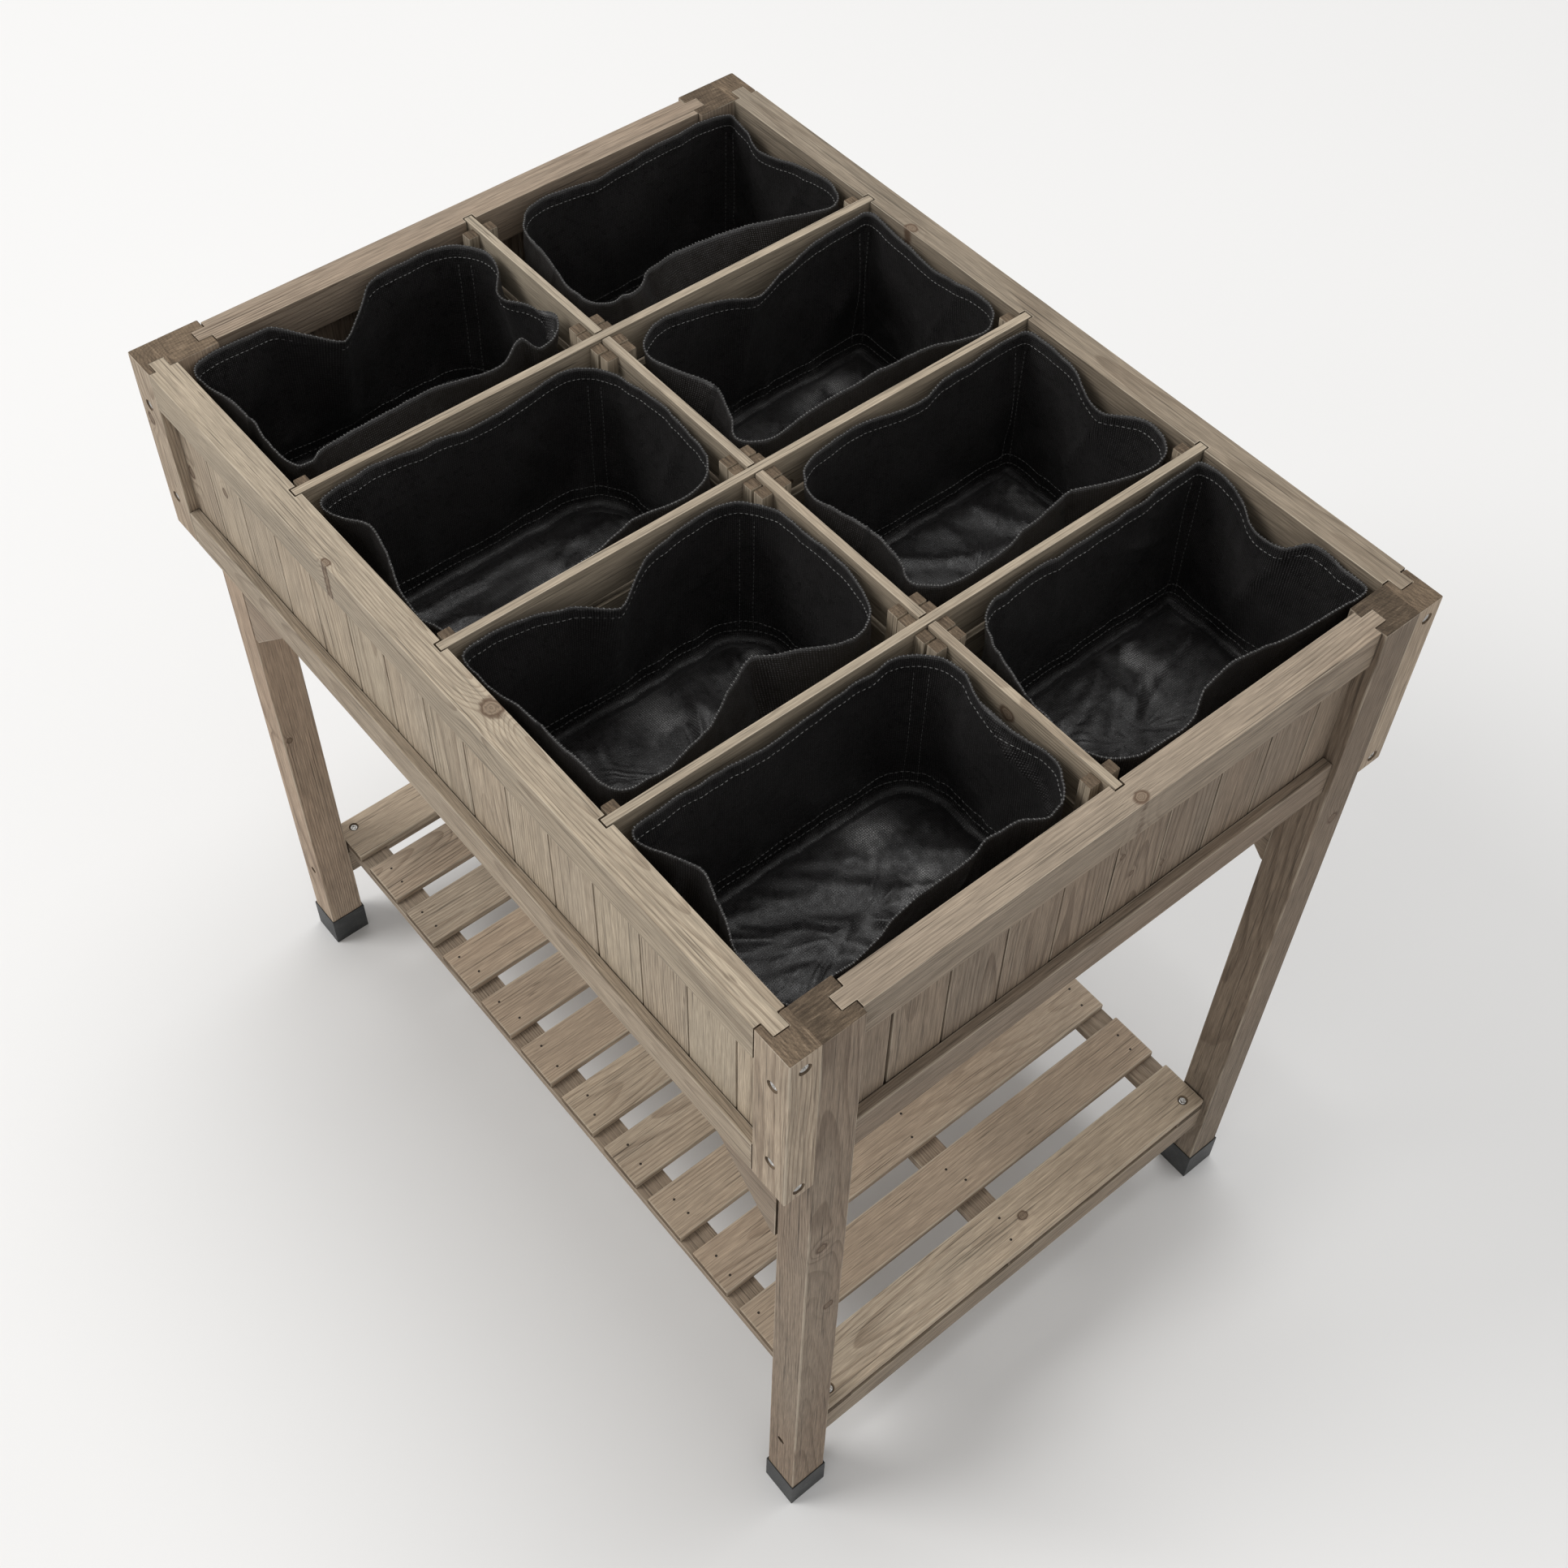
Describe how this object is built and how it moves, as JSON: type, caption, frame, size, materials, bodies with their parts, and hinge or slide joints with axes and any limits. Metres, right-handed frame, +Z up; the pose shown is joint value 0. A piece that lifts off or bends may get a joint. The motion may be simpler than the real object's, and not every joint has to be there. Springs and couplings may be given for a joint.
{
  "type": "raised planter on legs",
  "caption": "Waist-high timber herb planter: plank-sided box with fabric-lined pockets between slatted dividers, on legs with a slatted storage shelf",
  "frame": {"origin": "On the ground under the middle of the planter: centre of the bounding box in X and Y, Z = 0 at the underside of the foot caps.", "axes": "+Z up; +X along the long side, left to right for someone facing the front; the front faces -Y."},
  "size_m": [0.7804, 0.58, 0.8],
  "materials": {
    "timber": "weathered grey-brown stained softwood, matte",
    "liner_fabric": "black non-woven garden fabric with a pressed dot pattern and a faint sheen",
    "foot_plastic": "dark grey moulded plastic, satin"
  },
  "bodies": {
    "frame": {"leg_front_left": "timber", "corner_block_front_left": "timber", "brace_front_left": "timber", "leg_front_right": "timber", "corner_block_front_right": "timber", "brace_front_right": "timber", "leg_back_left": "timber", "corner_block_back_left": "timber", "brace_back_left": "timber", "leg_back_right": "timber", "corner_block_back_right": "timber", "brace_back_right": "timber", "top_rail_front": "timber", "bottom_rail_front": "timber", "floor_cleat_front": "timber", "wall_front": "timber", "top_rail_back": "timber", "bottom_rail_back": "timber", "floor_cleat_back": "timber", "wall_back": "timber", "top_rail_left": "timber", "bottom_rail_left": "timber", "wall_left": "timber", "top_rail_right": "timber", "bottom_rail_right": "timber", "wall_right": "timber", "floor_deck": "timber", "shelf_frame": "timber", "shelf_slat_01": "timber", "shelf_slat_02": "timber", "shelf_slat_03": "timber", "shelf_slat_04": "timber", "shelf_slat_05": "timber", "shelf_slat_06": "timber", "shelf_slat_07": "timber", "shelf_slat_08": "timber", "shelf_slat_09": "timber", "shelf_slat_10": "timber", "shelf_slat_11": "timber", "shelf_slat_12": "timber", "foot_cap_front_left": "foot_plastic", "foot_cap_front_right": "foot_plastic", "foot_cap_back_left": "foot_plastic", "foot_cap_back_right": "foot_plastic"},
    "liner_front_1": {"liner_front_1": "liner_fabric"},
    "liner_front_2": {"liner_front_2": "liner_fabric"},
    "liner_front_3": {"liner_front_3": "liner_fabric"},
    "liner_front_4": {"liner_front_4": "liner_fabric"},
    "liner_back_1": {"liner_back_1": "liner_fabric"},
    "liner_back_2": {"liner_back_2": "liner_fabric"},
    "liner_back_3": {"liner_back_3": "liner_fabric"},
    "liner_back_4": {"liner_back_4": "liner_fabric"},
    "cross_divider_1": {"cross_divider_1": "timber"},
    "cross_divider_2": {"cross_divider_2": "timber"},
    "cross_divider_3": {"cross_divider_3": "timber"},
    "long_divider_1": {"long_divider_1": "timber"},
    "long_divider_2": {"long_divider_2": "timber"},
    "long_divider_3": {"long_divider_3": "timber"},
    "long_divider_4": {"long_divider_4": "timber"}
  },
  "joints": [
    {"name": "lift_liner_front_1", "type": "slide", "parent": "frame", "child": "liner_front_1", "axis": [0, 0, 1], "range_m": [0, 0.17]},
    {"name": "lift_liner_front_2", "type": "slide", "parent": "frame", "child": "liner_front_2", "axis": [0, 0, 1], "range_m": [0, 0.17]},
    {"name": "lift_liner_front_3", "type": "slide", "parent": "frame", "child": "liner_front_3", "axis": [0, 0, 1], "range_m": [0, 0.17]},
    {"name": "lift_liner_front_4", "type": "slide", "parent": "frame", "child": "liner_front_4", "axis": [0, 0, 1], "range_m": [0, 0.17]},
    {"name": "lift_liner_back_1", "type": "slide", "parent": "frame", "child": "liner_back_1", "axis": [0, 0, 1], "range_m": [0, 0.17]},
    {"name": "lift_liner_back_2", "type": "slide", "parent": "frame", "child": "liner_back_2", "axis": [0, 0, 1], "range_m": [0, 0.17]},
    {"name": "lift_liner_back_3", "type": "slide", "parent": "frame", "child": "liner_back_3", "axis": [0, 0, 1], "range_m": [0, 0.17]},
    {"name": "lift_liner_back_4", "type": "slide", "parent": "frame", "child": "liner_back_4", "axis": [0, 0, 1], "range_m": [0, 0.17]},
    {"name": "lift_cross_divider_1", "type": "slide", "parent": "frame", "child": "cross_divider_1", "axis": [0, 0, 1], "range_m": [0, 0.17]},
    {"name": "lift_cross_divider_2", "type": "slide", "parent": "frame", "child": "cross_divider_2", "axis": [0, 0, 1], "range_m": [0, 0.17]},
    {"name": "lift_cross_divider_3", "type": "slide", "parent": "frame", "child": "cross_divider_3", "axis": [0, 0, 1], "range_m": [0, 0.17]},
    {"name": "lift_long_divider_1", "type": "slide", "parent": "frame", "child": "long_divider_1", "axis": [0, 0, 1], "range_m": [0, 0.17]},
    {"name": "lift_long_divider_2", "type": "slide", "parent": "frame", "child": "long_divider_2", "axis": [0, 0, 1], "range_m": [0, 0.17]},
    {"name": "lift_long_divider_3", "type": "slide", "parent": "frame", "child": "long_divider_3", "axis": [0, 0, 1], "range_m": [0, 0.17]},
    {"name": "lift_long_divider_4", "type": "slide", "parent": "frame", "child": "long_divider_4", "axis": [0, 0, 1], "range_m": [0, 0.17]}
  ]
}
